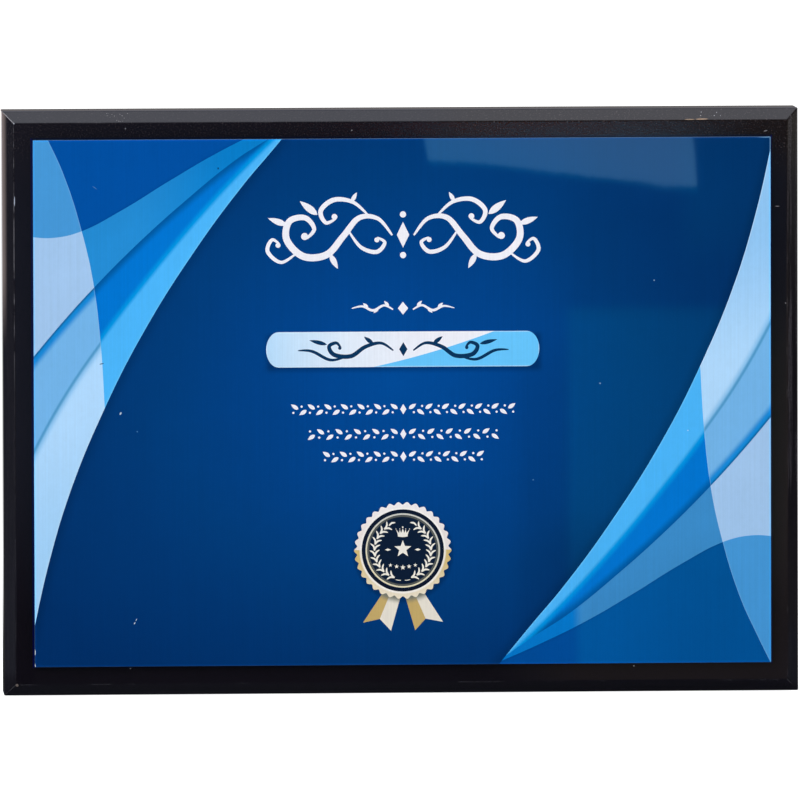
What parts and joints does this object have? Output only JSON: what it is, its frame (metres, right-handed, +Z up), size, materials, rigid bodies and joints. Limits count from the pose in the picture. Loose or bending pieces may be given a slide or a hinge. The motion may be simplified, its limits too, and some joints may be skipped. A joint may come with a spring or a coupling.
{
  "type": "wall plaque",
  "caption": "Landscape wall plaque: a printed metal plate taped to a black board with a chamfered front, with flush keyhole hangers and rubber bumpers on its back.",
  "frame": {"origin": "the seat of the wall screw in the upper hanger's slot, on the plane of the wall", "axes": "+X to the right as seen from the front, +Y into the wall, +Z up; the print faces -Y"},
  "size_m": [0.192, 0.0194, 0.141],
  "materials": {
    "board": "black satin lacquer on fibreboard",
    "plate": "gloss coating with the print in it",
    "tape": "matt adhesive tape",
    "hanger": "nickel plated",
    "screw": "zinc plated",
    "bumper": "matt"
  },
  "bodies": {
    "root": {"plaque_board": "board", "print_plate": "plate", "tape_top": "tape", "tape_bottom": "tape", "tape_left": "tape", "tape_right": "tape", "tape_centre": "tape", "hanger_top": "hanger", "hanger_side": "hanger", "screw_top_upper": "screw", "screw_top_lower": "screw", "screw_side_inner": "screw", "screw_side_outer": "screw", "bumper_top_left": "bumper", "bumper_top_right": "bumper", "bumper_bottom_left": "bumper", "bumper_bottom_right": "bumper"}
  },
  "joints": []
}
